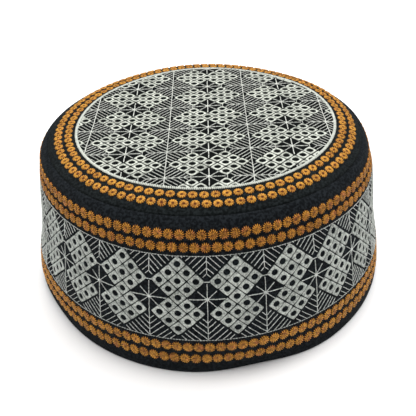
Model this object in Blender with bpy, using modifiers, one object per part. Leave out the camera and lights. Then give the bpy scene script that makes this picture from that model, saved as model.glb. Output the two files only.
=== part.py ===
"""Round cloth prayer cap: a flat top panel joined by a seam to an upright side band.

The cap stands on its hem with the head opening downwards. The origin is at the middle of
the hem's underside, +Z points up and -Y is the front. Tables are in millimetres and
degrees, and the meshes are in metres.
"""

import math
from collections import namedtuple

import bpy

MM = 0.001

# Driving sizes, in millimetres
HEAD_CIRCUMFERENCE = 566.0
BAND_WALL = 2.8
TOP_WALL = 2.4
SEAM_GAP = 0.3
HEM_WALL = 3.2
HEM_ROUND = 0.9
HEM_TURNS = (0.0, -45.0, -90.0)

ROUND_STEPS = 96
SHARP_ANGLE = 50.0
FULL_TURN = 360.0

# A profile point nearer to the axis than this lies on it.
AXIS_RADIUS = 0.001

# Blender's merge distance, in metres
MERGE_DISTANCE = 0.0001

# The inner radius at the hem follows from the head size, and the outer one from the wall.
BAND_RADIUS = HEAD_CIRCUMFERENCE / (2.0 * math.pi) + BAND_WALL

# Direction through the wall of the seam's two cut edges, in degrees above the horizontal
SEAM_FACING = 58.0

# A station of the outer surface: the radius is written as what it falls short of BAND_RADIUS.
Station = namedtuple("Station", "name inset height")

# From the middle of the top panel out to the seam
TOP_STATIONS = (
    Station("middle", BAND_RADIUS, 84.3),
    Station("star field", 62.9, 84.5),
    Station("star field edge", 37.9, 84.9),
    Station("satin ring", 28.9, 85.1),
    Station("inner top row", 23.6, 84.6),
    Station("outer top row", 18.9, 83.4),
    Station("above the seam", 16.0, 82.1),
    Station("seam", 13.4, 80.6),
)

# Below the seam, down to where the hem's rounding starts
BAND_STATIONS = (
    Station("below the seam", 11.6, 79.4),
    Station("shoulder", 10.3, 78.3),
    Station("shoulder end", 9.6, 76.7),
    Station("upper side row", 9.3, 74.0),
    Station("second side row", 8.35, 68.4),
    Station("upper border", 7.6, 64.2),
    Station("upper field", 5.8, 54.0),
    Station("stars", 4.05, 43.6),
    Station("lower field", 2.2, 33.5),
    Station("lower border", 0.6, 23.0),
    Station("first hem row", 0.5, 17.4),
    Station("second hem row", 0.5, 9.7),
    Station("hem margin", 0.3, 4.5),
)

# Soft bulges (outwards) and hollows (inwards) of the cloth. The angle runs round from the
# front towards the right, and each fades with its own spread round and up the cap.
Bulge = namedtuple("Bulge", "name angle spread height reach outward")
BULGES = (
    Bulge("left side of the hem", -86.0, 14.0, 5.0, 14.0, 3.8),
    Bulge("front right of the hem", 12.0, 9.0, 0.0, 8.0, -2.2),
    Bulge("right side of the hem", 84.0, 18.0, 4.0, 11.0, 1.8),
    Bulge("left shoulder", -95.0, 30.0, 72.0, 14.0, 1.1),
    Bulge("front of the shoulder", 15.0, 30.0, 80.0, 16.0, -1.1),
    Bulge("right shoulder", 90.0, 18.0, 77.0, 10.0, -1.3),
    Bulge("back right of the shoulder", 138.0, 22.0, 80.0, 16.0, -0.9),
    Bulge("front left of the band", -26.0, 22.0, 45.0, 18.0, 1.4),
    Bulge("front right of the band", 26.0, 24.0, 45.0, 18.0, 1.1),
    Bulge("right side of the band", 84.0, 20.0, 38.0, 16.0, -1.4),
)

# The radii between which the bulges grow from nothing to their whole height
STILL_RADIUS = 71.0
LOOSE_RADIUS = 81.0

# Shallow hollows (down) and swellings (up) of the top, placed from the cap's axis
Sag = namedtuple("Sag", "name across back reach upward")
SAGS = (
    Sag("left of the top", -45.0, 0.0, 28.0, -1.6),
    Sag("right of the top", 45.0, 0.0, 28.0, 1.0),
)

# How much the top rises for every millimetre to the right and to the back
LEAN_RIGHT = -0.008
LEAN_BACK = 0.011

# Powers of the height with which the lean and the sags fade down the band
LEAN_FADE = 2
SAG_FADE = 8
TOP_HEIGHT = TOP_STATIONS[0].height

# The bulges differ from left to right, so the plan is moved to centre the whole cap.
PLAN_SHIFT = 0.55

CLOTH_COLOUR = (0.012, 0.014, 0.017, 1.0)
CLOTH_ROUGHNESS = 0.92


def rounded_hem():
    """Outer points of the hem from its margin down to the flat rim, then up the inside."""
    outer = BAND_RADIUS
    inner = outer - HEM_WALL
    corners = ((outer - HEM_ROUND, 0.0), (inner + HEM_ROUND, -90.0))
    points = []
    for centre, start in corners:
        for turn in HEM_TURNS:
            angle = math.radians(start + turn)
            radius = centre + HEM_ROUND * math.cos(angle)
            points.append((radius, HEM_ROUND + HEM_ROUND * math.sin(angle)))
    return points


def inner_points(outline, wall, seam_index):
    """The outline moved inwards by the wall, at right angles to it at every point."""
    moved = []
    for index, (radius, height) in enumerate(outline):
        before = outline[max(index - 1, 0)]
        after = outline[min(index + 1, len(outline) - 1)]
        facing = math.atan2(before[0] - after[0], after[1] - before[1]) + math.pi
        if index == seam_index:
            facing = math.radians(SEAM_FACING)
        if radius < AXIS_RADIUS:
            facing = math.radians(90.0)
        moved.append((radius - wall * math.cos(facing), height - wall * math.sin(facing)))
    return moved


def bulge_at(angle, height):
    """How far the cloth stands out of round at an angle in degrees and a height."""
    total = 0.0
    for bulge in BULGES:
        turn = (angle - bulge.angle + FULL_TURN / 2) % FULL_TURN - FULL_TURN / 2
        fade = (turn / bulge.spread) ** 2 + ((height - bulge.height) / bulge.reach) ** 2
        total += bulge.outward * math.exp(-0.5 * fade)
    return total


def rise_at(across, back, height):
    """How far the cloth rises: the top leans and sags, and the band follows less and less."""
    share = min(height / TOP_HEIGHT, 1.0)
    sagged = 0.0
    for sag in SAGS:
        distance = math.hypot(across - sag.across, back - sag.back)
        sagged += sag.upward * math.exp(-0.5 * (distance / sag.reach) ** 2)
    leaned = LEAN_RIGHT * across + LEAN_BACK * back
    return share ** LEAN_FADE * leaned + share ** SAG_FADE * sagged


def pressed_by_hand(mesh):
    """Move the turned cloth out of round and out of level."""
    for vertex in mesh.vertices:
        radius = math.hypot(vertex.co.x, vertex.co.y) / MM
        height = vertex.co.z / MM
        turn = math.atan2(vertex.co.x, -vertex.co.y)
        share = (radius - STILL_RADIUS) / (LOOSE_RADIUS - STILL_RADIUS)
        share = min(max(share, 0.0), 1.0)
        radius += bulge_at(math.degrees(turn), height) * share
        across = radius * math.sin(turn)
        back = -radius * math.cos(turn)
        rise = rise_at(across, back, height)
        vertex.co = ((across + PLAN_SHIFT) * MM, back * MM, (height + rise) * MM)


def turned_solid(name, profile, closed, material, collection):
    """The profile, at +X with its outer side from top to bottom, turned round the cap's axis."""
    points = [(radius * MM, 0.0, height * MM) for radius, height in profile]
    edges = [(index, index + 1) for index in range(len(points) - 1)]
    if closed:
        edges.append((len(points) - 1, 0))
    line = bpy.data.meshes.new(name + "_profile")
    line.from_pydata(points, edges, [])
    solid = bpy.data.objects.new(name, line)
    collection.objects.link(solid)
    screw = solid.modifiers.new("turned", "SCREW")
    screw.axis = "Z"
    screw.angle = math.radians(FULL_TURN)
    screw.steps = ROUND_STEPS
    screw.render_steps = ROUND_STEPS
    screw.use_merge_vertices = True
    screw.merge_threshold = MERGE_DISTANCE
    bpy.context.view_layer.update()
    evaluated = solid.evaluated_get(bpy.context.evaluated_depsgraph_get())
    turned = bpy.data.meshes.new_from_object(evaluated)
    turned.name = name
    solid.modifiers.remove(screw)
    solid.data = turned
    bpy.data.meshes.remove(line)
    pressed_by_hand(turned)
    turned.shade_smooth()
    turned.set_sharp_from_angle(angle=math.radians(SHARP_ANGLE))
    turned.materials.clear()
    turned.materials.append(material)
    return solid


def cloth_material(name):
    """Matt black cotton cloth."""
    material = bpy.data.materials.new(name)
    material.use_nodes = True
    shader = material.node_tree.nodes["Principled BSDF"]
    shader.inputs["Base Color"].default_value = CLOTH_COLOUR
    shader.inputs["Roughness"].default_value = CLOTH_ROUGHNESS
    material.diffuse_color = CLOTH_COLOUR
    return material


def outline_of(stations):
    """Radius and height of each station."""
    return [(BAND_RADIUS - station.inset, station.height) for station in stations]


def top_panel(collection):
    """The flat top, rolled down at its edge to meet the band at the seam."""
    outer = outline_of(TOP_STATIONS)
    inner = inner_points(outer, TOP_WALL, len(outer) - 1)
    loop = outer + inner[::-1]
    return turned_solid("top_panel", loop, False, cloth_material("top_cloth"), collection)


def band_edge():
    """The band's cut edge: the top panel's own edge, moved on across the seam's gap."""
    radius, height = outline_of(TOP_STATIONS)[-1]
    across = math.radians(SEAM_FACING - 90.0)
    return (radius + SEAM_GAP * math.cos(across), height + SEAM_GAP * math.sin(across))


def side_band(collection):
    """The upright band, from the seam over the shoulder down to the folded hem."""
    outer = [band_edge()] + outline_of(BAND_STATIONS)
    inner = inner_points(outer, BAND_WALL, 0)
    loop = outer + rounded_hem() + inner[::-1]
    return turned_solid("side_band", loop, True, cloth_material("band_cloth"), collection)


def main():
    for old in list(bpy.data.objects):
        bpy.data.objects.remove(old, do_unlink=True)
    collection = bpy.data.collections.new("prayer_cap")
    bpy.context.scene.collection.children.link(collection)
    top_panel(collection)
    side_band(collection)


main()
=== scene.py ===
"""Round cloth prayer cap, dressed: black cloth with white and orange thread embroidery.

The cap's flat top and its upright side band each carry a field of the same embroidered
unit: a large diamond of small eyelet squares between two stars, with rows of slanting
stitches on both sides. Six rows of orange rosettes run round the cap. Patterns are drawn
flat, in millimetres, and laid on the cap's surface.
"""

import logging
import math
from abc import ABC, abstractmethod
from collections.abc import Callable, Iterator
from dataclasses import dataclass, field, replace
from enum import Enum

import bpy
import numpy as np
from mathutils import Matrix, Vector


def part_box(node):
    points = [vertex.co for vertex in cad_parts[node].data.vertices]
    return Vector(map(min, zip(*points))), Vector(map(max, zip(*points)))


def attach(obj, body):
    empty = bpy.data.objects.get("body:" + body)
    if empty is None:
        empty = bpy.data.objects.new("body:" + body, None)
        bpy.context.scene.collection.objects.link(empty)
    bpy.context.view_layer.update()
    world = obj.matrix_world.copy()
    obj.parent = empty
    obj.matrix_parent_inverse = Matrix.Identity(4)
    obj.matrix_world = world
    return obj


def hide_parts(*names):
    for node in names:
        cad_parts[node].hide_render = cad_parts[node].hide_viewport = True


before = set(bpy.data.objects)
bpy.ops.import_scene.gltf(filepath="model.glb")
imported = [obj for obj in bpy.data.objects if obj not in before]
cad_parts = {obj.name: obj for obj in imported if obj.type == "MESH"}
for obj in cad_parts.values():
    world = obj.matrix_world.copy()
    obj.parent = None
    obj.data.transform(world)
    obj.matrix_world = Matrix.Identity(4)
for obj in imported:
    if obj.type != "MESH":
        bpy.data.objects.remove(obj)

LOG = logging.getLogger("prayer_cap")
MM = 0.001
TURN = 2.0 * math.pi
UV_NAME = "stitch"
TONE_NAME = "tone"
LIFT_NAME = "lift"
# Height of the embroidered forms' edges, in millimetres, sunk into the cloth
SUNK = -0.15

Points = np.ndarray
Spot = tuple[float, float]
Colour = Place = tuple[float, float, float]
Wrap = Callable[[Points, Points, Points], Points]
Object = bpy.types.Object
Material = bpy.types.Material
Socket = bpy.types.NodeSocket
Value = Socket | float | Colour
Inputs = dict[str | int, Value]


def bell(*distances: Points) -> Points:
    """Return a soft bell, 1 at its middle, from distances in its own widths."""
    return np.exp(-0.5 * sum(distance**2 for distance in distances))


def turning(angle: float) -> Points:
    """Return the matrix that turns rows of flat points by an angle in radians."""
    cosine, sine = math.cos(angle), math.sin(angle)
    return np.array([[cosine, sine], [-sine, cosine]])


class Side(Enum):
    """Which way a mirrored form faces along the unit's height."""

    UPPER = 1.0
    LOWER = -1.0


@dataclass(frozen=True)
class Bulge:
    """A soft swelling (or hollow) of the cloth.

    Args:
        angle: Where it is, in degrees from the front towards the right.
        spread: How far it fades round the cap, in degrees.
        height: Height of its middle, in millimetres.
        reach: How far it fades up and down.
        outward: How far it stands out at its middle.
        upward: How far it rises there.
    """

    angle: float
    spread: float
    height: float
    reach: float
    outward: float
    upward: float = 0.0

    def share(self, angle: Points, height: Points) -> Points:
        """Return the share that is felt at angles in degrees and heights in millimetres."""
        turn = (angle - self.angle + 180.0) % 360.0 - 180.0
        return bell(turn / self.spread, (height - self.height) / self.reach)


@dataclass(frozen=True)
class Sag:
    """A soft hollow (or swelling) of the top.

    Args:
        across: Its place in millimetres to the right of the axis.
        back: Its place behind the axis.
        reach: How far it fades.
        up: How far the cloth rises at its middle.
    """

    across: float
    back: float
    reach: float
    up: float

    def rise(self, x: Points, y: Points) -> Points:
        """Return how far the cloth rises at places across and towards the back."""
        return self.up * bell((x - self.across) / self.reach, (y - self.back) / self.reach)


@dataclass
class CapForm:
    """The cap's outer surface as a profile turned round, with soft bulges.

    Args:
        radius: Outer radius at the hem, in millimetres, from the frame.
        shift: Sideways place of the cap's axis.
        step: Spacing of the profile's points.
        softness: Length over which its corners are rounded.
        still: Radii between which the bulges' outward share sets in.
        level: The same for their upward share.
        seam_depth: How far the seam draws the cloth in.
        seam_width: How far that fades.
        lean: Slope of the top towards the right and towards the back.
        sag_fade: How fast the sags fade below the top, as a power.
        top: Insets from the radius and heights, from the middle out to the seam.
        band: The same from the seam down to the hem.
    """

    radius: float
    shift: float = 0.55
    step: float = 0.25
    softness: float = 1.3
    still: Spot = (71.0, 81.0)
    level: Spot = (67.0, 75.0)
    seam_depth: float = 0.18
    seam_width: float = 0.7
    lean: Spot = (-0.008, 0.011)
    sag_fade: float = 8.0
    top: tuple[Spot, ...] = (
        (62.9, 84.6), (37.9, 85.0), (28.9, 85.15), (23.6, 84.65), (18.9, 83.45), (16.0, 82.2),
        (13.4, 80.65),
    )
    band: tuple[Spot, ...] = (
        (11.6, 79.45), (10.3, 78.3), (9.6, 76.7), (9.3, 74.0), (8.35, 68.4), (7.6, 64.2),
        (5.8, 54.0), (4.05, 43.6), (2.2, 33.5), (0.6, 23.0), (0.5, 17.4), (0.5, 9.7),
        (0.3, 4.5), (0.0, 1.8), (0.4, 0.05),
    )
    bulges: tuple[Bulge, ...] = tuple(Bulge(*row) for row in (
        (-86.0, 14.0, 5.0, 14.0, 4.2), (-62.0, 9.0, 0.0, 8.0, -0.6), (12.0, 9.0, 0.0, 5.5, -2.3),
        (33.0, 8.0, 0.0, 10.0, 0.6), (52.0, 10.0, 0.0, 10.0, 0.4), (84.0, 18.0, 4.0, 11.0, 1.8),
        (-95.0, 30.0, 72.0, 14.0, 1.1), (62.0, 22.0, 80.0, 16.0, 0.6),
        (92.0, 20.0, 78.0, 12.0, -1.0), (84.0, 10.0, 76.0, 5.0, -0.8),
        (138.0, 22.0, 80.0, 16.0, -0.9), (-118.0, 16.0, 79.0, 3.5, -0.5, 0.5),
        (15.0, 30.0, 80.0, 16.0, -1.1), (-174.0, 34.0, 82.0, 6.0, 0.0, 0.65),
        (-85.0, 20.0, 82.0, 6.0, 0.0, 0.6), (-26.0, 22.0, 45.0, 18.0, 1.4),
        (26.0, 24.0, 45.0, 18.0, 1.1), (-2.0, 16.0, 24.0, 9.0, 0.7),
        (-62.0, 16.0, 45.0, 18.0, -0.6), (-82.0, 16.0, 54.0, 14.0, 0.9),
        (84.0, 20.0, 38.0, 16.0, -1.3), (88.0, 16.0, 62.0, 12.0, 1.0),
    ))
    sags: tuple[Sag, ...] = tuple(Sag(*row) for row in (
        (-45.0, 0.0, 28.0, -1.6), (45.0, 0.0, 28.0, 1.05), (0.0, 0.0, 28.0, -0.35),
        (0.0, -40.0, 28.0, 0.4), (0.0, -70.0, 20.0, 0.35), (66.0, -6.0, 20.0, -0.7),
        (-48.0, -52.0, 14.0, -0.5), (36.0, -28.0, 14.0, 0.5), (-12.0, 74.0, 22.0, 0.25),
        (42.0, 55.0, 18.0, -0.45), (-40.0, 55.0, 18.0, -0.4),
    ))
    along: Points = field(init=False)
    radii: Points = field(init=False)
    heights: Points = field(init=False)
    normals: Points = field(init=False)
    seam: float = field(init=False)
    seam_index: int = field(init=False)

    def __post_init__(self) -> None:
        """Work out the smooth profile from its stations."""
        middle = [(0.0, self.top[0][1] - 0.1)]
        outline = middle + [(self.radius - inset, z) for inset, z in self.top + self.band]
        line = np.array(outline)
        lengths = np.r_[0.0, np.cumsum(np.hypot(*np.diff(line, axis=0).T))]
        self.seam = float(lengths[len(self.top)])
        self.seam_index = int(self.seam / self.step)
        self.along = np.arange(0.0, lengths[-1], self.step)
        self.radii = self._smoothed(np.interp(self.along, lengths, line[:, 0]))
        self.heights = self._smoothed(np.interp(self.along, lengths, line[:, 1]))
        self.radii[0] = 0.0
        slope_r = np.gradient(self.radii, self.along)
        slope_z = np.gradient(self.heights, self.along)
        self.normals = np.stack([-slope_z, slope_r]) / np.hypot(slope_r, slope_z)

    def _smoothed(self, values: Points) -> Points:
        """Return the values with their corners rounded over a short stretch."""
        reach = int(round(4.0 * self.softness / self.step))
        weights = bell(np.arange(-reach, reach + 1) * self.step / self.softness)
        before = 2.0 * values[0] - values[reach:0:-1]
        after = 2.0 * values[-1] - values[-2 : -reach - 2 : -1]
        return np.convolve(np.r_[before, values, after], weights / weights.sum(), "valid")

    @staticmethod
    def eased(radius: Points, limits: Spot) -> Points:
        """Return a share that grows smoothly from 0 at the first limit to 1 at the second."""
        share = np.clip((radius - limits[0]) / (limits[1] - limits[0]), 0.0, 1.0)
        return share**2 * (3.0 - 2.0 * share)

    def band_area(self) -> float:
        """Return the flat area of the band's cloth in square metres."""
        return float(TURN * self.radii[self.seam_index :].sum() * self.step) * MM**2

    def along_at_radius(self, radius: Points | float) -> Points | float:
        """Return the distances along the profile at radii on the top."""
        return np.interp(radius, self.radii[: self.seam_index], self.along[: self.seam_index])

    def along_at_height(self, height: float) -> float:
        """Return the distance along the profile at a height on the band."""
        start = self.seam_index
        return float(np.interp(-height, -self.heights[start:], self.along[start:]))

    def place(self, angle: Points, along: Points, lift: Points) -> Points:
        """Lay points on the cap.

        Args:
            angle: Angles round the cap in radians, from the front to the right.
            along: Distances along the profile from the middle of the top.
            lift: Heights above the cloth.

        Returns:
            The points in metres.
        """
        radius = np.interp(along, self.along, self.radii)
        height = np.interp(along, self.along, self.heights)
        rise = lift - self.seam_depth * bell((along - self.seam) / self.seam_width)
        shares = [bulge.share(np.degrees(angle), height) for bulge in self.bulges]
        out = sum(bulge.outward * share for bulge, share in zip(self.bulges, shares))
        up = sum(bulge.upward * share for bulge, share in zip(self.bulges, shares))
        out, up = out * self.eased(radius, self.still), up * self.eased(radius, self.level)
        radius = radius + out + rise * np.interp(along, self.along, self.normals[0])
        height = height + up + rise * np.interp(along, self.along, self.normals[1])
        x = radius * np.sin(angle)
        y = -radius * np.cos(angle)
        share = np.clip(height / self.top[0][1], 0.0, 1.0)
        lean = self.lean[0] * x + self.lean[1] * y
        height = height + share**2 * lean
        height = height + share**self.sag_fade * sum(sag.rise(x, y) for sag in self.sags)
        return np.stack([x + self.shift, y, height], 1) * MM


class Workbench:
    """Small helpers round Blender's own operators and meshes."""

    @staticmethod
    def clear() -> None:
        """Deselect every object, the frame's nodes too."""
        bpy.ops.object.select_all(action="DESELECT")

    @staticmethod
    def linked(name: str, data: bpy.types.ID) -> Object:
        """Return a new object of some data, put into the scene."""
        obj = bpy.data.objects.new(name, data)
        bpy.context.scene.collection.objects.link(obj)
        return obj

    @staticmethod
    def grid(wide: int, deep: int) -> Object:
        """Add a flat square, 1 wide round the origin, of so many faces by so many."""
        Workbench.clear()
        bpy.ops.mesh.primitive_grid_add(
            x_subdivisions=wide, y_subdivisions=deep, size=1.0, calc_uvs=False
        )
        return bpy.context.active_object

    @staticmethod
    def coordinates(mesh: bpy.types.Mesh) -> Points:
        """Return the mesh's vertices as an array."""
        values = np.empty(len(mesh.vertices) * 3, np.float32)
        mesh.vertices.foreach_get("co", values)
        return values.reshape(-1, 3).astype(float)

    @staticmethod
    def draw(mesh: bpy.types.Mesh, local: Points) -> None:
        """Store the stitches' own coordinates.

        Args:
            mesh: The mesh.
            local: A pair in millimetres for each vertex.
        """
        corners = np.empty(len(mesh.loops), np.int32)
        mesh.loops.foreach_get("vertex_index", corners)
        layer = mesh.uv_layers.new(name=UV_NAME)
        layer.data.foreach_set("uv", local[corners].astype(np.float32).ravel())


@dataclass
class Stamp:
    """A small embroidered form, modelled once and copied.

    Args:
        points: Its vertices in millimetres: across, along, lift.
        faces: Its faces as vertex numbers.
    """

    points: Points
    faces: list[tuple[int, ...]]

    @classmethod
    def taken_from(cls, obj: Object) -> "Stamp":
        """Read an object that was modelled flat at the origin, and remove it."""
        mesh = obj.data
        stamp = cls(
            Workbench.coordinates(mesh), [tuple(polygon.vertices) for polygon in mesh.polygons]
        )
        bpy.data.objects.remove(obj, do_unlink=True)
        bpy.data.meshes.remove(mesh)
        return stamp

    @classmethod
    def pad(cls, spokes: int, rings: tuple[Spot, ...], closed: bool = True) -> "Stamp":
        """Model a round pad from the inside outwards.

        Args:
            spokes: Number of points round it.
            rings: Radius and lift of each ring, from the inmost.
            closed: Whether the inmost ring is filled.

        Returns:
            The pad.
        """
        Workbench.clear()
        first, lift = rings[0]
        fill = "NGON" if closed else "NOTHING"
        bpy.ops.mesh.primitive_circle_add(
            vertices=spokes, radius=first, fill_type=fill, location=(0.0, 0.0, lift)
        )
        obj = bpy.context.active_object
        bpy.ops.object.transform_apply(location=True, rotation=False, scale=False)
        bpy.ops.object.mode_set(mode="EDIT")
        bpy.ops.mesh.select_mode(type="EDGE")
        bpy.ops.mesh.select_all(action="SELECT")
        if closed:
            bpy.ops.mesh.region_to_loop()
        for (before, low), (after, high) in zip(rings, rings[1:]):
            bpy.ops.mesh.extrude_edges_move(
                TRANSFORM_OT_translate={"value": (0.0, 0.0, high - low)}
            )
            bpy.ops.transform.resize(value=(after / before, after / before, 1.0))
        bpy.ops.mesh.select_all(action="SELECT")
        bpy.ops.mesh.normals_make_consistent(inside=False)
        bpy.ops.object.mode_set(mode="OBJECT")
        if sum(polygon.normal.z for polygon in obj.data.polygons) < 0.0:
            obj.data.flip_normals()
        return cls.taken_from(obj)

    def polar(self) -> tuple[Points, Points]:
        """Return how far its vertices lie from its middle, and at which angles."""
        x, y, _ = self.points.T
        return np.hypot(x, y), np.arctan2(y, x)

    def stretched(self, shares: Points) -> "Stamp":
        """Return it with each vertex moved outwards in its plane by a share."""
        self.points[:, :2] *= shares[:, None]
        return self


@dataclass
class EyeletSquare:
    """One eyelet square: thread that runs from a round hole out to four straight edges.

    Args:
        hole: Radius of the hole.
        half: Half of its side; the square is scaled when it is laid.
        spokes: Number of points round it.
        squareness: How square its edge is, as a power.
        crown: Height of the thread round the hole.
        rim: Height just inside the edge.
        easing: How late the roundness gives way to the square, as a power.
    """

    hole: float = 1.3
    half: float = 2.5
    spokes: int = 16
    squareness: float = 30.0
    crown: float = 0.36
    rim: float = 0.28
    easing: float = 1.3

    def stamp(self) -> Stamp:
        """Model the square, its sides along its own axes."""
        hole, half, power = self.hole, self.half, self.squareness
        rings = ((hole, SUNK), (hole * 1.12, self.crown), (half * 0.95, self.rim), (half, SUNK))
        pad = Stamp.pad(self.spokes, rings, closed=False)
        reach, angle = pad.polar()
        share = np.clip((reach - hole) / (half - hole), 0.0, 1.0)
        corner = (np.abs(np.cos(angle)) ** power + np.abs(np.sin(angle)) ** power) ** (-1.0 / power)
        return pad.stretched(1.0 + share**self.easing * (corner - 1.0))


@dataclass(frozen=True)
class Rosette:
    """One round rosette of radial stitches, with a tooth at every stitch's end.

    Args:
        stitches: Number of its stitches.
        radius: Its outer radius.
        height: Its height above the cloth.
        tooth: How far the stitches' ends stand out, as a share of the radius.
        toothed: Share of the radius beyond which they do.
    """

    stitches: int
    radius: float
    height: float
    tooth: float
    toothed: float = 0.7

    def stamp(self) -> Stamp:
        """Model the rosette."""
        radius, height = self.radius, self.height
        rings = ((radius * 0.2, height * 0.6), (radius * 0.84, height), (radius, SUNK))
        pad = Stamp.pad(2 * self.stitches, rings)
        reach, angle = pad.polar()
        outer = reach / radius > self.toothed
        return pad.stretched(1.0 + self.tooth * np.cos(self.stitches * angle) * outer)


@dataclass
class StarKnot:
    """The small heap of stitches in the middle of a star."""

    radius: float = 0.8
    height: float = 0.6
    spokes: int = 12

    def stamp(self) -> Stamp:
        """Model the knot."""
        radius, height = self.radius, self.height
        rings = ((radius * 0.45, height), (radius * 0.85, height * 0.7), (radius, SUNK))
        return Stamp.pad(self.spokes, rings)


@dataclass
class ThreadBar:
    """A short raised bar of close stitches, one long and one wide, scaled when it is laid.

    Args:
        across: Faces across it.
        lengthwise: Faces along it.
        taper: Width of its ends.
        end_lift: Height of its ends.
        rounding: How close to its ends the inner rows lie, as a power.
    """

    across: int = 4
    lengthwise: int = 4
    taper: float = 0.72
    end_lift: float = 0.35
    rounding: float = 0.35

    def stamp(self) -> Stamp:
        """Model the bar, which runs along its own second axis from 0 to 1."""
        bar = Stamp.taken_from(Workbench.grid(self.across, self.lengthwise))
        x, y, _ = bar.points.T
        across, share = x * 2.0, np.abs(y * 2.0)
        end = share > 0.99
        lift = np.sqrt(np.clip(1.0 - across**2, 0.0, 1.0)) * np.where(end, self.end_lift, 1.0)
        bar.points = np.stack(
            [
                x * np.where(end, self.taper, 1.0),
                0.5 + np.sign(y) * 0.5 * np.where(end, 1.0, share**self.rounding),
                np.where(np.abs(across) > 0.99, SUNK, lift),
            ],
            1,
        )
        return bar


@dataclass(frozen=True)
class Stroke:
    """A straight thread between two points of a flat pattern, in millimetres."""

    start: Spot
    end: Spot
    width: float
    height: float

    def laid(self, axes: Points, origin: Spot) -> "Stroke":
        """Return it drawn along other axes, a row each, from another origin."""
        return replace(self, start=self.start @ axes + origin, end=self.end @ axes + origin)


class Patchwork:
    """Many copies of stamps, gathered into one mesh.

    Args:
        seed: Seed of the small irregularities of the stitching.
    """

    # How unevenly the copies are turned, sized and placed, and strokes placed
    TURNED = 0.02
    SIZED = 0.012
    PLACED = 0.05
    STROKE_PLACED = 0.04
    # Greatest height of what is cut off at an edge
    CUT_HEIGHT = 0.3

    def __init__(self, seed: int) -> None:
        """Start with nothing."""
        self.random = np.random.default_rng(seed)
        self.points: list[Points] = []
        self.local: list[Points] = []
        self.tone: list[Points] = []
        self.faces: list[tuple[int, ...]] = []
        self.count = 0

    def add(self, stamp: Stamp, flat: Points, lift: Points, local: Points) -> None:
        """Add a copy of a stamp.

        Args:
            stamp: The stamp.
            flat: Where its vertices lie in the flat pattern.
            lift: How high they lie.
            local: The stitches' own coordinates.
        """
        self.points.append(np.column_stack([flat, lift]))
        self.local.append(local)
        self.tone.append(np.full(len(flat), self.random.uniform()))
        self.faces.extend(tuple(self.count + corner for corner in face) for face in stamp.faces)
        self.count += len(flat)

    def add_turned(
        self, stamp: Stamp, centre: Spot, turn: float = 0.0, scale: Spot = (1.0, 1.0)
    ) -> None:
        """Add a copy that is turned, then scaled and moved.

        Args:
            stamp: The stamp.
            centre: Where its middle goes.
            turn: The turn in radians.
            scale: The scale along the pattern's two axes, after the turn.
        """
        turn += self.random.normal(0.0, self.TURNED)
        size = 1.0 + self.random.normal(0.0, self.SIZED)
        shift = self.random.normal(0.0, self.PLACED, 2)
        local = stamp.points[:, :2]
        flat = local @ turning(turn) * scale * size + centre + shift
        self.add(stamp, flat, stamp.points[:, 2], local)

    def add_stroke(self, bar: Stamp, stroke: Stroke) -> None:
        """Add a bar stretched along a stroke."""
        run = np.subtract(stroke.end, stroke.start)
        length = math.hypot(*run)
        x, y = run / length
        across, share, lift = bar.points.T
        local = np.stack([across * stroke.width, share * length], 1)
        jitter = self.random.normal(0.0, self.STROKE_PLACED, 2)
        flat = local @ np.array([[y, -x], [x, y]]) + stroke.start + jitter
        self.add(bar, flat, np.where(lift < 0.0, lift, lift * stroke.height), local)

    def add_stitches(self, bar: Stamp, stroke: Stroke, stitch: float = 1.7) -> None:
        """Add a row of stitches along a stroke, each a bar of its own.

        Args:
            bar: The bar's stamp.
            stroke: The stroke.
            stitch: About how long a stitch is.
        """
        length = math.hypot(*np.subtract(stroke.end, stroke.start))
        places = np.linspace(stroke.start, stroke.end, max(1, round(length / stitch)) + 1)
        for first, last in zip(places, places[1:]):
            self.add_stroke(bar, replace(stroke, start=first, end=last))

    def piece(self, name: str, wrap: Wrap, edge: float = math.inf) -> Object:
        """Make one object of all copies.

        Args:
            name: The object's name.
            wrap: Lays flat points on the cap.
            edge: Radius at which the pattern is cut off, and the cut pressed down.

        Returns:
            The object.
        """
        flat = np.concatenate(self.points)
        reach = np.hypot(flat[:, 0], flat[:, 1])
        beyond = reach > edge
        faces = [face for face in self.faces if not all(beyond[corner] for corner in face)]
        flat[beyond, :2] *= (edge / reach[beyond])[:, None]
        flat[beyond, 2] = np.minimum(flat[beyond, 2], self.CUT_HEIGHT)
        used = np.zeros(len(flat), bool)
        used[[corner for face in faces for corner in face]] = True
        number = np.cumsum(used) - 1
        flat = flat[used]
        faces = [tuple(int(number[corner]) for corner in face) for face in faces]
        mesh = bpy.data.meshes.new(name)
        mesh.from_pydata(wrap(*flat.T).tolist(), [], faces)
        Workbench.draw(mesh, np.concatenate(self.local)[used])
        for key, values in (
            (TONE_NAME, np.concatenate(self.tone)[used]),
            (LIFT_NAME, flat[:, 2]),
        ):
            stored = mesh.attributes.new(key, "FLOAT", "POINT")
            stored.data.foreach_set("value", values.astype(np.float32))
        mesh.shade_smooth()
        return Workbench.linked(name, mesh)


class Dressing:
    """Puts finished pieces into the frame."""

    @staticmethod
    def fit(obj: Object, slot: str, material: Material) -> Object:
        """Give a piece its material, and let it ride on the cap.

        Args:
            obj: The piece.
            slot: Not used.
            material: Its material.

        Returns:
            The piece.
        """
        obj.data.materials.clear()
        obj.data.materials.append(material)
        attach(obj, "root")
        LOG.info("%s: %d faces", obj.name, len(obj.data.polygons))
        return obj


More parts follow.
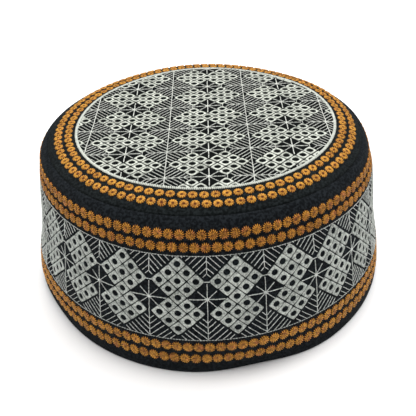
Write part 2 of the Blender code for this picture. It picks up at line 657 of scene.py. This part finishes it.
class Shader:
    """Builds one material's nodes with short calls.

    Args:
        name: The material's name.
    """

    def __init__(self, name: str) -> None:
        """Make an empty material with its Principled shader."""
        self.material = bpy.data.materials.new(name)
        self.material.use_nodes = True
        self.tree = self.material.node_tree

    def feed(self, node: bpy.types.Node, inputs: Inputs) -> None:
        """Link a node's inputs to outputs, or set them to numbers and colours."""
        for key, value in inputs.items():
            if isinstance(value, Socket):
                self.tree.links.new(value, node.inputs[key])
            else:
                plain = (*value, 1.0) if isinstance(value, tuple) else value
                node.inputs[key].default_value = plain

    def node(self, kind: str, inputs: Inputs, output: str | int = 0, **settings: str) -> Socket:
        """Add a node.

        Args:
            kind: Its kind, as Blender names it after "ShaderNode".
            inputs: What its inputs get.
            output: The output that is wanted.
            settings: Its properties.

        Returns:
            The output.
        """
        made = self.tree.nodes.new("ShaderNode" + kind)
        for key, value in settings.items():
            setattr(made, key, value)
        self.feed(made, inputs)
        return made.outputs[output]

    def painted(self, inputs: Inputs) -> Material:
        """Feed the surface and return the finished material."""
        self.feed(self.tree.nodes["Principled BSDF"], inputs)
        return self.material

    def math(self, operation: str, *values: Value) -> Socket:
        """Return the result of a math operation on sockets or numbers."""
        return self.node("Math", dict(enumerate(values)), operation=operation)

    def line(self, value: Value, slope: Value, start: Value) -> Socket:
        """Return a value times a slope plus a start."""
        return self.math("MULTIPLY_ADD", value, slope, start)

    def clamp(self, value: Value, low: float = 0.0, high: float = 1.0) -> Socket:
        """Return a value kept between two limits."""
        return self.math("MINIMUM", self.math("MAXIMUM", value, low), high)

    def wave(self, shape: str, value: Value, turns: float) -> Socket:
        """Return the sine or cosine, from -1 to 1, of a value times a number."""
        return self.math(shape, self.math("MULTIPLY", value, turns))

    def length(self, x: Socket, y: Socket) -> Socket:
        """Return the length of a flat vector."""
        return self.math("SQRT", self.line(x, x, self.math("MULTIPLY", y, y)))

    def attribute(self, name: str) -> Socket:
        """Return a number stored on the mesh."""
        return self.node("Attribute", {}, "Fac", attribute_name=name)

    def split(self, vector: Socket) -> tuple[Socket, Socket]:
        """Return a vector's first two parts."""
        return self.node("SeparateXYZ", {0: vector}, 0), self.node("SeparateXYZ", {0: vector}, 1)

    def local(self) -> tuple[Socket, Socket]:
        """Return the two stitch coordinates."""
        return self.split(self.node("UVMap", {}, uv_map=UV_NAME))

    def place(self) -> Socket:
        """Return the place on the object."""
        return self.node("TexCoord", {}, "Object")

    def noise(self, scale: float, detail: float) -> Socket:
        """Return noise from 0 to 1, of a fineness and with so many finer octaves."""
        inputs = {"Vector": self.place(), "Scale": scale, "Detail": detail}
        return self.node("TexNoise", inputs, "Fac")

    def blend(self, amount: Socket, low: Value, high: Value) -> Socket:
        """Return the mix of two colours, the first at 0 and the second at 1."""
        return self.node("Mix", {"Factor": amount, 6: low, 7: high}, 2, data_type="RGBA")

    def bump(self, height: Socket, distance: float, strength: float) -> Socket:
        """Return the normal of a relief so many metres deep."""
        inputs = {"Height": height, "Distance": distance, "Strength": strength}
        return self.node("Bump", inputs)


@dataclass(frozen=True)
class ThreadFinish:
    """Embroidery thread, with painted shade between its stitches and where it meets the cloth.

    Args:
        name: The material's name.
        light: Its colour on the stitches' crests.
        shade: Its colour down between them, where shade is painted.
        sheen: Its sheen.
        contrast: How much painted shade darkens it between the stitches.
        mottle: How uneven its colour is.
        tuft: How fine that unevenness is.
        roughness: Its roughness.
        gloss: Strength of its mirror-like reflection.
        stitch: Spacing of the stitches across a line, in millimetres.
        spokes: Turns of the stitches' wave in an eighth of an eyelet square.
        relief: Depth of the stitches' relief in metres.
        rise: How fast it gets lighter with its height above the cloth.
        foot: How light it is at the cloth.
        eye_depth: How dark the middle of a rosette gets.
        tinge: How much of the second colour its patches have.
        tinged: The second colour.
    """

    name: str
    light: Colour
    shade: Colour
    sheen: float = 0.2
    contrast: float = 0.5
    mottle: float = 1.4
    tuft: float = 900.0
    roughness: float = 0.6
    gloss: float = 0.12
    stitch: float = 0.42
    spokes: float = 4.5
    relief: float = 0.00012
    # rise: How fast the painted shade at the cloth gives way with height above it.
    rise: float = 3.1
    # foot: How much light the painted shade at the cloth leaves.
    foot: float = 0.03
    eye_depth: float = 0.95
    tinge: float = 0.0
    tinged: Colour = (0.7, 0.22, 0.09)

    def _finished(self, shader: Shader, ridge: Socket, dark: Value = 0.0) -> Material:
        """Colour and relief from the stitches, with painted shade between them and at the cloth.

        Args:
            shader: The material's nodes.
            ridge: 1 on a stitch's crest and 0 between two.
            dark: How much the thread is darkened.

        Returns:
            The material.
        """
        grain = shader.noise(2500.0, 3.0)
        tuft = shader.math("SUBTRACT", shader.noise(self.tuft, 1.0), 0.5)
        # Painted shade: darker between the stitches' crests.
        amount = shader.line(ridge, self.contrast, 0.6 - self.contrast)
        amount = shader.line(grain, 0.25, amount)
        amount = shader.line(tuft, self.mottle, amount)
        amount = shader.line(shader.attribute(TONE_NAME), 0.22, amount)
        amount = shader.math("SUBTRACT", amount, dark)
        # Painted shade: the thread darkens as it sinks to the cloth at the forms' rims.
        lift = shader.line(shader.attribute(LIFT_NAME), self.rise, self.foot)
        amount = shader.clamp(shader.math("MULTIPLY", amount, shader.clamp(lift, 0.05)))
        patch = shader.clamp(shader.line(shader.noise(420.0, 1.0), 5.0, -2.6))
        light = shader.blend(shader.math("MULTIPLY", patch, self.tinge), self.light, self.tinged)
        return shader.painted(
            {
                "Base Color": shader.blend(amount, self.shade, light),
                "Roughness": self.roughness,
                "Sheen Weight": self.sheen,
                "Sheen Roughness": 0.4,
                "Specular IOR Level": self.gloss,
                "Normal": shader.bump(shader.line(grain, 0.3, ridge), self.relief, 0.8),
            }
        )

    def eyelet(self) -> Material:
        """Thread that runs from a hole out to the four edges of a square."""
        shader = Shader(self.name + "_eyelet")
        wide, deep = (shader.math("ABSOLUTE", part) for part in shader.local())
        most = shader.math("MAXIMUM", shader.math("MAXIMUM", wide, deep), 0.01)
        slope = shader.math("DIVIDE", shader.math("MINIMUM", wide, deep), most)
        ridge = shader.line(shader.wave("COSINE", slope, TURN * self.spokes), 0.5, 0.5)
        mitre = shader.math("MULTIPLY", shader.math("GREATER_THAN", slope, 0.93), 0.22)
        return self._finished(shader, ridge, mitre)

    def bar(self) -> Material:
        """Close slanting stitches across a line."""
        shader = Shader(self.name + "_bar")
        x, y = shader.local()
        wave = shader.wave("SINE", shader.line(x, 0.5, y), TURN / self.stitch)
        return self._finished(shader, shader.line(wave, 0.5, 0.5))

    def rosette(self, stitches: int, eye: float) -> Material:
        """Stitches that radiate from the middle.

        Args:
            stitches: How many there are.
            eye: Radius of the dark middle.

        Returns:
            The material.
        """
        shader = Shader(f"{self.name}_rosette_{stitches}")
        x, y = shader.local()
        wave = shader.wave("COSINE", shader.math("ARCTAN2", y, x), float(stitches))
        ridge = shader.clamp(shader.line(wave, 0.8, 0.55))
        share = shader.math("DIVIDE", shader.length(x, y), eye)
        inside = shader.math("MAXIMUM", shader.math("SUBTRACT", 1.0, share), 0.0)
        dark = shader.math("MINIMUM", shader.math("MULTIPLY", inside, 3.0), self.eye_depth)
        return self._finished(shader, ridge, dark)


@dataclass(frozen=True)
class ClothFinish:
    """Matt black cotton with a fine close weave.

    Args:
        name: The material's name.
        light: The cloth's colour on the threads.
        shade: Its colour between them.
        weave: Spacing of the threads in millimetres.
        fuzz: Strength of the short loose fibres.
        lint: How fine they are.
        shade_and_pull_radius: Radius within which the cloth is darker, in millimetres: painted
            shade among the raised stitches, and the cloth pulled tight by the embroidery.
        relief: Depth of the weave's relief in metres.
    """

    name: str
    light: Colour
    shade: Colour
    weave: float = 0.55
    fuzz: float = 0.7
    lint: float = 900.0
    shade_and_pull_radius: float = 65.0
    relief: float = 0.00016

    def flat(self) -> Material:
        """Cloth whose weave lies flat, for the top."""
        shader = Shader(self.name)
        x, y = (shader.math("DIVIDE", part, MM) for part in shader.split(shader.place()))
        # Darker inside the field: painted shade among the raised stitches, and the cloth pulled
        # tight there.
        beyond = shader.math("SUBTRACT", shader.length(x, y), self.shade_and_pull_radius)
        return self._finished(shader, x, y, shader.clamp(beyond, 0.2))

    def wrapped(self) -> Material:
        """Cloth whose weave follows the band round the cap."""
        shader = Shader(self.name)
        return self._finished(shader, *shader.local())

    def _finished(self, shader: Shader, x: Socket, y: Socket, shade_and_pull_margin: Value = 1.0) -> Material:
        """Colour and relief of the weave.

        Args:
            shader: The material's nodes.
            x: Millimetres along the weft.
            y: Millimetres along the warp.
            shade_and_pull_margin: How much of the fibres' and weave's light is kept: less inside
                the field, for painted shade among the stitches and the cloth pulled tight.

        Returns:
            The material.
        """
        weft, warp = (shader.wave("SINE", part, TURN / self.weave) for part in (x, y))
        woven = shader.line(shader.math("MULTIPLY", weft, warp), 0.5, 0.5)
        lint = shader.clamp(shader.line(shader.noise(self.lint, 3.0), 5.0, -2.1))
        amount = shader.line(lint, self.fuzz, shader.math("MULTIPLY", woven, 0.15))
        amount = shader.line(shader.noise(60.0, 3.0), 0.25, amount)
        # The field's painted shade and pull darken the cloth here.
        amount = shader.math("MINIMUM", shader.math("MULTIPLY", amount, shade_and_pull_margin), 1.0)
        return shader.painted(
            {
                "Base Color": shader.blend(amount, self.shade, self.light),
                "Roughness": 0.95,
                "Specular IOR Level": 0.06,
                "Sheen Weight": 0.01,
                "Sheen Roughness": 0.5,
                "Normal": shader.bump(shader.line(lint, 0.8, woven), self.relief, 0.7),
            }
        )


@dataclass
class ClothShell:
    """A turned piece of the cap's cloth with its thickness.

    Args:
        name: The piece's name.
        start: Where it starts along the profile, in millimetres.
        end: Where it ends.
        wall: Its thickness.
        rows: Rows of faces along the profile.
        steps: Faces round the cap.
    """

    name: str
    start: float
    end: float
    wall: float
    rows: int
    steps: int = 264

    def build(self, form: CapForm) -> Object:
        """Model the shell.

        Args:
            form: The cap's form.

        Returns:
            The piece, a closed solid of cloth.
        """
        obj = Workbench.grid(self.steps, self.rows)
        mesh = obj.data
        obj.name = mesh.name = self.name
        x, y, flat = Workbench.coordinates(mesh).T
        angle = x * TURN
        along = self.start + (0.5 - y) * (self.end - self.start)
        Workbench.draw(mesh, np.stack([angle * form.radius, -along], 1))
        points = form.place(angle, along, flat)
        mesh.vertices.foreach_set("co", points.astype(np.float32).ravel())
        mesh.update()
        self._close(obj)
        shell = obj.modifiers.new("wall", "SOLIDIFY")
        shell.thickness = self.wall * MM
        shell.offset = -1.0
        shell.use_even_offset = False
        bpy.ops.object.modifier_apply(modifier=shell.name)
        mesh.shade_smooth()
        return obj

    @staticmethod
    def _close(obj: Object) -> None:
        """Join the two ends of the turned strip, and its middle where it has one."""
        Workbench.clear()
        obj.select_set(True)
        bpy.context.view_layer.objects.active = obj
        bpy.ops.object.mode_set(mode="EDIT")
        bpy.ops.mesh.select_all(action="SELECT")
        bpy.ops.mesh.remove_doubles(threshold=0.02 * MM)
        bpy.ops.mesh.dissolve_degenerate(threshold=0.005 * MM)
        bpy.ops.mesh.normals_make_consistent(inside=False)
        bpy.ops.object.mode_set(mode="OBJECT")
        outward = sum(
            polygon.normal.z + polygon.normal.x * polygon.center.x * 10.0
            for polygon in obj.data.polygons
        )
        if outward < 0.0:
            obj.data.flip_normals()


@dataclass
class UnitChart:
    """One repeat of the embroidered field, drawn flat round its star.

    Args:
        pitch: Width of the repeat.
        height: Height between the two border lines.
        fill: How much of its cell an eyelet square fills.
        rise: How far the diamond's middle lies above the star.
        gap: How far the slanting stitches end before the diamond.
        ray: Width of the star's two rays across the unit.
        links: The sides on which a short thread links two diamonds.
        cell_wide: Half of a cell's width, as a share of the pitch.
        cell_high: Half of its height, as a share of the height.
        thread: Width of the slanting stitches.
        relief: Their height above the cloth.
        slant: How far the star's slanting rays reach, across and along.
        drop: How far the two border lines lie below the chart's edges.
    """

    pitch: float
    height: float
    fill: float
    rise: float
    gap: float
    ray: float
    links: tuple[Side, ...]
    cell_wide: float = 0.159
    cell_high: float = 0.0956
    thread: float = 0.385
    relief: float = 0.36
    slant: float = 5.9 / math.sqrt(2.0)
    drop: float = 0.0

    def cells(self) -> Iterator[Spot]:
        """Give the middles of the eyelet squares of the diamond to the right of the star."""
        for row in range(-4, 5):
            span = 2 - abs(2 - abs(row))
            for column in range(-span, span + 1, 2):
                across = self.pitch * (0.5 + column * self.cell_wide)
                yield across, row * self.cell_high * self.height + self.rise

    def half_cell(self) -> Spot:
        """Return half of a square's two diagonals, across the unit and along it."""
        wide, high = self.cell_wide * self.pitch, self.cell_high * self.height
        return wide * self.fill, high * self.fill

    def border(self, side: Side) -> float:
        """Return where the border line of one side lies."""
        return side.value * self.height / 2 - self.drop

    def star(self) -> Iterator[Stroke]:
        """Give the star's rays, its links and its spines."""
        middle, slant = (0.0, 0.0), self.slant
        for hand in (0.309 * self.pitch, -0.309 * self.pitch):
            yield Stroke(middle, (hand, 0.0), self.ray, self.relief)
        for reach in (0.185 * self.height, self.border(Side.LOWER)):
            yield Stroke(middle, (0.0, reach), 0.42, 0.4)
        for corner in ((slant, slant), (slant, -slant), (-slant, slant), (-slant, -slant)):
            yield Stroke(middle, corner, 0.4, 0.35)
        for side in self.links:
            link, along = 0.057 * self.pitch, side.value * 0.204 * self.height
            yield Stroke((-link, along), (link, along), 0.4, 0.35)
        yield Stroke((0.0, self.border(Side.UPPER)), (0.0, 0.296 * self.height), 0.45, 0.45)

    def _legs(
        self, side: Side, apexes: tuple[float, ...], starts: tuple[float, ...]
    ) -> Iterator[Stroke]:
        """Give the slanting stitches of one triangle between two diamonds.

        Args:
            side: Above or below the star.
            apexes: Where pairs start on the spine, as shares of the height.
            starts: Where others start on the border, as shares of the pitch.

        Returns:
            The strokes.
        """
        wide = self.cell_wide * self.pitch
        high = self.cell_high * self.height
        slope = high / wide
        base = 2.0 * high + side.value * self.rise - slope * (self.pitch / 2 - 3.0 * wide)
        places = [(0.12, share * self.height) for share in apexes]
        places += [(share * self.pitch, abs(self.border(side)) - 0.2) for share in starts]
        for across, along in places:
            run = (along - base - slope * across) / (1.0 + slope) - self.gap
            for hand in (1.0, -1.0):
                start = (hand * across, side.value * along)
                end = (hand * (across + run), side.value * (along - run))
                yield Stroke(start, end, self.thread, self.relief)

    def legs(self) -> Iterator[Stroke]:
        """Give all slanting stitches above and below the star."""
        yield from self._legs(Side.UPPER, (0.296, 0.362, 0.436), (0.036, 0.163, 0.282, 0.407))
        yield from self._legs(Side.LOWER, (0.280, 0.350, 0.423, 0.497), (0.126, 0.237, 0.356))


@dataclass
class EmbroideredField(ABC):
    """Repeats of one chart, drawn flat and laid on the cap.

    Args:
        form: The cap's form.
        name: How the names of its pieces begin.
        seed: Seed of its first piece; each other piece takes the next.
        hole: Radius of the eyelets' hole.
        turn: How far the field is turned, in degrees.
        edge: Radius at which it is cut off.
    """

    form: CapForm
    name: str
    seed: int
    hole: float
    turn: float
    edge: float = math.inf
    chart: UnitChart = field(init=False)
    axes: Points = field(init=False)
    diagonals: Spot = field(init=False)
    lines: tuple[Stroke, ...] = field(init=False, default=())

    def __post_init__(self) -> None:
        """Model the small forms once."""
        eyelet = EyeletSquare(self.hole)
        self.square, self.square_reach = eyelet.stamp(), eyelet.half * math.sqrt(2.0)
        self.bar, self.knot = ThreadBar().stamp(), StarKnot().stamp()

    @abstractmethod
    def wrap(self, x: Points, y: Points, lift: Points) -> Points:
        """Lay flat points on the cap."""

    @abstractmethod
    def stars(self) -> Iterator[Spot]:
        """Give the middle of every repeat."""

    def eyelets(self) -> Object:
        """Model the diamonds of eyelet squares."""
        work = Patchwork(self.seed)
        scale = np.divide(self.diagonals, self.square_reach)
        kept = self.edge + self.chart.half_cell()[0]
        for star in self.stars():
            for cell in self.chart.cells():
                centre = cell @ self.axes + star
                if math.hypot(*centre) < kept:
                    work.add_turned(self.square, centre, math.pi / 4, scale)
        return work.piece(self.name + "_eyelets", self.wrap, self.edge)

    def threads(self) -> Object:
        """Model the stars, the slanting stitches and the field's own lines."""
        work = Patchwork(self.seed + 1)
        strokes = [*self.chart.star(), *self.chart.legs(), *self.lines]
        for star in self.stars():
            for stroke in strokes:
                laid = stroke.laid(self.axes, star)
                if min(math.hypot(*laid.start), math.hypot(*laid.end)) < self.edge:
                    work.add_stitches(self.bar, laid)
            if math.hypot(*star) < self.edge:
                work.add_turned(self.knot, star)
        return work.piece(self.name + "_threads", self.wrap, self.edge)


@dataclass
class SideField(EmbroideredField):
    """The embroidered field round the side band.

    Args:
        repeats: Number of repeats round the cap.
        upper: Height of its upper edge.
        lower: Height of its lower edge.
        pitch: Mean width of a repeat.
        slant: How far it leans, as a slope.
        diamond_rise: How far the diamonds lie above the stars.
        border_width: Width of the two border lines.
        border_drop: How far they lie below the field's edges.
        border_stitches: Number of their stitches in a repeat.
        border_gap: Gap between two of them.
    """

    name: str = "side"
    seed: int = 11
    hole: float = 1.3
    turn: float = -1.64
    repeats: int = 22
    upper: float = 65.25
    lower: float = 23.45
    pitch: float = 25.7
    slant: float = 0.0115
    diamond_rise: float = 0.75
    border_width: float = 0.24
    border_drop: float = 0.5
    border_stitches: int = 20
    border_gap: float = 0.25

    def __post_init__(self) -> None:
        """Work out the chart's size from the cap."""
        super().__post_init__()
        top, low = self.form.along_at_height(self.upper), self.form.along_at_height(self.lower)
        self.middle = (top + low) / 2
        self.chart = UnitChart(
            self.pitch, low - top, 0.96, self.diamond_rise, 0.5, 0.5, (Side.UPPER,),
            drop=self.border_drop,
        )
        self.axes, self.diagonals = np.eye(2), self.chart.half_cell()

    def wrap(self, x: Points, y: Points, lift: Points) -> Points:
        """Lay the flat field on the band."""
        angle = (x + self.slant * y) / self.pitch * TURN / self.repeats
        return self.form.place(angle + math.radians(self.turn), self.middle - y, lift)

    def stars(self) -> Iterator[Spot]:
        """Give the stars round the band."""
        yield from ((unit * self.pitch, 0.0) for unit in range(self.repeats))

    def borders(self) -> Object:
        """Model the two thin lines that close the field."""
        work = Patchwork(self.seed + 2)
        part = self.pitch / self.border_stitches
        for level in map(self.chart.border, Side):
            stitch = Stroke((0.0, level), (part - self.border_gap, level), self.border_width, 0.4)
            for index in range(self.repeats * self.border_stitches):
                work.add_stroke(self.bar, stitch.laid(self.axes, (index * part, 0.0)))
        return work.piece("side_borders", self.wrap)


@dataclass
class TopField(EmbroideredField):
    """The embroidered field of the top, cut off by the satin ring.

    Args:
        pitch: Spacing of the repeats' rows.
        column: Spacing of their columns.
        origin: Place of the middle star.
        columns: Number of columns on either side of it.
        rows: Number of rows on either side of it.
        ring_radius: Middle radius of the ring.
        ring_width: Its width.
        ring_stitches: Number of its stitches.
        ring_height: Its height.
    """

    name: str = "top"
    seed: int = 21
    hole: float = 1.58
    turn: float = -0.95
    edge: float = 65.2
    pitch: float = 24.1
    column: float = 39.3
    origin: Spot = (1.4, -7.9)
    columns: int = 2
    rows: int = 4
    ring_radius: float = 65.4
    ring_width: float = 1.3
    ring_stitches: int = 480
    ring_height: float = 0.6

    def __post_init__(self) -> None:
        """Make the chart, whose width runs towards the back."""
        super().__post_init__()
        self.chart = UnitChart(
            self.pitch, self.column, 0.92, 0.0, 0.1, 0.6, (Side.UPPER, Side.LOWER), thread=0.37
        )
        across, along = self.pitch / 2, self.column / 2
        self.lines = (Stroke((-across, along), (across, along), 0.55, 0.45),)
        self.turned = turning(math.radians(self.turn))
        self.axes, self.diagonals = self.turned[::-1], self.chart.half_cell()[::-1]

    def wrap(self, x: Points, y: Points, lift: Points) -> Points:
        """Lay the flat field on the top."""
        along = self.form.along_at_radius(np.hypot(x, y))
        return self.form.place(np.arctan2(x, -y), along, lift)

    def stars(self) -> Iterator[Spot]:
        """Give the stars of every repeat that may reach into the ring."""
        for column in range(-self.columns, self.columns + 1):
            for row in range(-self.rows, self.rows + 1):
                yield (column * self.column, row * self.pitch) @ self.turned + self.origin

    def ring(self) -> Object:
        """Model the ring round the field, a row of close slanting stitches."""
        work = Patchwork(self.seed + 2)
        step = TURN / self.ring_stitches
        reach, lean = self.ring_width / 2, self.ring_width * 0.175
        start, end = (-lean, reach - self.ring_radius), (lean, -reach - self.ring_radius)
        stitch = Stroke(start, end, step * self.ring_radius * 0.95, self.ring_height)
        for index in range(self.ring_stitches):
            work.add_stroke(self.bar, stitch.laid(turning(index * step), (0.0, 0.0)))
        return work.piece("top_ring", self.wrap)


@dataclass(frozen=True)
class RosetteRow:
    """One row of rosettes round the cap.

    Args:
        name: The piece's name.
        count: How many there are.
        along: Where the row lies along the profile.
        phase: Place of the first rosette, as a share of the spacing.
        tall: Scale of the rosettes across the row.
        seed: Seed of the small irregularities.
    """

    name: str
    count: int
    along: float
    phase: float
    tall: float
    seed: int

    def build(self, form: CapForm, stamp: Stamp) -> Object:
        """Model the row.

        Args:
            form: The cap's form.
            stamp: The rosette.

        Returns:
            The piece.
        """
        radius = float(np.interp(self.along, form.along, form.radii))
        spacing = TURN * radius / self.count
        work = Patchwork(self.seed)
        for index in range(self.count):
            turn = work.random.uniform(0.0, TURN)
            centre = ((index + self.phase) * spacing, 0.0)
            work.add_turned(stamp, centre, turn, (1.0, self.tall))
        return work.piece(
            self.name, lambda x, y, lift: form.place(x / radius, self.along - y, lift)
        )


@dataclass
class Studio:
    """Floor, lights and camera.

    Args:
        shift: Sideways place of the cap's axis, in millimetres.
        pitch: How far the camera looks down, in degrees.
        roll: How far the picture is turned, in degrees.
        offset: Place of the cap's axis point at the reference height, seen from the
            camera: right, up and away, in millimetres.
        reference: Height of that point in millimetres.
        focal: Focal length in pixels of the picture.
        picture: Width of the picture in pixels.
        sensor: Width of the camera's sensor in millimetres.
        lamps: Name, place, size and power in watts of the square lights.
        aim: What they face.
        sky: Strength of the world's light.
    """

    shift: float
    pitch: float = 34.711
    roll: float = 2.600
    offset: Place = (0.967, -9.932, 352.66)
    reference: float = 17.43
    focal: float = 613.46
    picture: float = 416.0
    sensor: float = 36.0
    lamps: tuple[tuple[str, Place, float, float], ...] = (
        ("overhead", (0.1, 0.25, 1.5), 1.6, 44.0),
        ("front", (-0.3, -1.3, 0.9), 0.9, 0.5),
        ("left", (-1.4, -0.5, 0.4), 0.9, 3.6),
        ("right", (1.4, -0.4, 0.4), 0.9, 2.6),
    )
    aim: Place = (0.0, 0.0, 0.05)
    sky: float = 0.2

    def camera(self) -> None:
        """Place the camera as the photograph's."""
        tilt = Matrix.Rotation(math.pi / 2 - math.radians(self.pitch), 4, "X")
        axes = tilt @ Matrix.Rotation(-math.radians(self.roll), 4, "Z")
        across, up, depth = self.offset
        target = Vector((self.shift, 0.0, self.reference))
        place = (target + axes @ Vector((-across, -up, depth))) * MM
        data = bpy.data.cameras.new("camera")
        data.sensor_width = self.sensor
        data.lens = self.focal / self.picture * self.sensor
        data.clip_start = 0.01
        data.clip_end = 20.0
        camera = Workbench.linked("camera", data)
        camera.matrix_world = Matrix.Translation(place) @ axes
        bpy.context.scene.camera = camera

    def floor(self) -> None:
        """Lay the pale floor."""
        Workbench.clear()
        bpy.ops.mesh.primitive_plane_add(size=8.0, location=(0.0, 0.0, -0.2 * MM))
        floor = bpy.context.active_object
        floor.name = "floor"
        shader = Shader("floor_paint")
        colour = shader.blend(shader.noise(3.0, 2.0), (0.93, 0.93, 0.93), (0.96, 0.96, 0.96))
        paint = {"Base Color": colour, "Roughness": 0.9, "Specular IOR Level": 0.1}
        floor.data.materials.append(shader.painted(paint))

    def lights(self) -> None:
        """Set the soft studio light."""
        bpy.context.scene.view_settings.view_transform = "Standard"
        world = bpy.data.worlds.new("studio")
        world.use_nodes = True
        background = world.node_tree.nodes["Background"]
        background.inputs["Color"].default_value = (1.0, 1.0, 1.0, 1.0)
        background.inputs["Strength"].default_value = self.sky
        bpy.context.scene.world = world
        for name, place, size, power in self.lamps:
            data = bpy.data.lights.new(name, "AREA")
            data.size = size
            data.energy = power
            light = Workbench.linked(name, data)
            light.location = place
            way = Vector(self.aim) - Vector(place)
            light.rotation_euler = way.to_track_quat("-Z", "Y").to_euler()


@dataclass
class PrayerCap:
    """The whole cap.

    Args:
        form: Its form.
        seam_gap: Space between the two pieces of cloth at the seam, in millimetres.
        top_wall: Thickness of the top's cloth.
        band_wall: Thickness of the band's.
    """

    form: CapForm
    seam_gap: float = 0.01
    top_wall: float = 2.4
    band_wall: float = 2.8
    # The white thread in lit and shaded copies: their colours hold painted light and painted shade
    # for where each piece lies.
    white_top: ThreadFinish = ThreadFinish(
        "white_top", (0.88, 0.91, 0.81), (0.08, 0.09, 0.075), 0.08
    )
    # Darker copy for the side, with painted shade.
    white_side: ThreadFinish = ThreadFinish(
        "white_side", (0.73, 0.76, 0.705), (0.11, 0.125, 0.11), 0.08, 0.6, 1.7, 1300.0
    )
    # Lighter copies for the thin lines and the ring, with painted light.
    side_lines: ThreadFinish = ThreadFinish(
        "side_lines", (0.90, 0.92, 0.88), (0.14, 0.16, 0.14), 0.08, 0.4, 1.4
    )
    top_lines: ThreadFinish = ThreadFinish(
        "top_lines", (0.98, 1.0, 0.93), (0.14, 0.15, 0.13), 0.08, 0.4, 1.2
    )
    white_ring: ThreadFinish = ThreadFinish(
        "white_ring", (0.80, 0.83, 0.75), (0.29, 0.31, 0.27), 0.08, 0.3, 0.6
    )
    # The orange thread in three copies, its colours painted for the light on the top, the side and
    # the hem.
    orange: ThreadFinish = ThreadFinish(
        "orange", (0.705, 0.345, 0.05), (0.10, 0.022, 0.003), 0.03, 0.6, 1.6, tinge=0.35
    )
    # The orange thread with painted shade, for the side rows.
    side_orange_painted_shade: ThreadFinish = ThreadFinish(
        "side_orange_painted_shade", (0.745, 0.335, 0.045), (0.055, 0.011, 0.002), 0.02, 1.0, 2.8, 1300.0,
        eye_depth=0.6, tinge=0.7,
    )
    # The orange thread with painted light, for the hem rows.
    hem_orange_painted_light: ThreadFinish = replace(
        side_orange_painted_shade, name="hem_orange_painted_light", light=(0.85, 0.405, 0.06), shade=(0.065, 0.014, 0.002)
    )
    top_black: ClothFinish = ClothFinish(
        "top_black", (0.0160, 0.0200, 0.0210), (0.001, 0.0015, 0.0015)
    )
    band_black: ClothFinish = ClothFinish(
        "band_black", (0.0160, 0.0195, 0.0228), (0.0005, 0.001, 0.0015)
    )

    def cloth(self) -> None:
        """Make the two pieces of cloth."""
        form, seam, hem = self.form, self.form.seam, float(self.form.along[-1])
        half_gap = self.seam_gap / 2.0
        top = ClothShell("top_cloth", 0.0, seam - half_gap, self.top_wall, 60)
        band = ClothShell("band_cloth", seam + half_gap, hem, self.band_wall, 72)
        top_piece = Dressing.fit(top.build(form), "top_cloth", self.top_black.flat())
        band_piece = Dressing.fit(band.build(form), "band_cloth", self.band_black.wrapped())
        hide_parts("top_panel")
        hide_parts("side_band")
        form.band_area()

    def embroidery(self) -> None:
        """Make the embroidered fields."""
        side, top, lines = SideField(self.form), TopField(self.form), self.side_lines.bar()
        for piece, material in (
            (side.eyelets(), self.white_side.eyelet()),
            (side.threads(), lines),
            (top.eyelets(), self.white_top.eyelet()),
            (top.threads(), self.top_lines.bar()),
            (side.borders(), lines),
            (top.ring(), self.white_ring.bar()),
        ):
            Dressing.fit(piece, "white_thread", material)

    def rosettes(self) -> None:
        """Make the six rows of rosettes."""
        on_top = Rosette(12, 2.14, 0.5, 0.07).stamp(), self.orange.rosette(12, 0.75)
        on_side = Rosette(14, 2.14, 0.42, 0.2).stamp(), self.side_orange_painted_shade.rosette(14, 0.3)
        on_hem = Rosette(14, 2.27, 0.42, 0.2).stamp(), self.hem_orange_painted_light.rosette(14, 0.3)
        top, side = self.form.along_at_radius, self.form.along_at_height
        for row, (stamp, material) in (
            (RosetteRow("top_rosettes_inner", 90, top(69.3), 0.62, 0.93, 31), on_top),
            (RosetteRow("top_rosettes_outer", 98, top(74.25), 0.79, 0.97, 32), on_top),
            (RosetteRow("side_rosettes_upper", 113, side(74.3), 0.22, 1.1, 33), on_side),
            (RosetteRow("side_rosettes_lower", 113, side(68.55), 0.53, 1.03, 34), on_side),
            (RosetteRow("hem_rosettes_upper", 118, side(18.15), 0.51, 1.29, 35), on_hem),
            (RosetteRow("hem_rosettes_lower", 117, side(10.1), 0.18, 1.35, 36), on_hem),
        ):
            Dressing.fit(row.build(self.form, stamp), "orange_thread", material)


def main() -> None:
    """Build the cap, then the studio."""
    logging.basicConfig(level=logging.INFO, format="%(name)s %(message)s")
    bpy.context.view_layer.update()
    band_low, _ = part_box("side_band")
    cap = PrayerCap(CapForm(radius=-band_low.y / MM))
    cap.cloth()
    cap.embroidery()
    cap.rosettes()
    studio = Studio(shift=cap.form.shift)
    studio.floor()
    studio.lights()
    studio.camera()


if __name__ == "__main__":
    main()
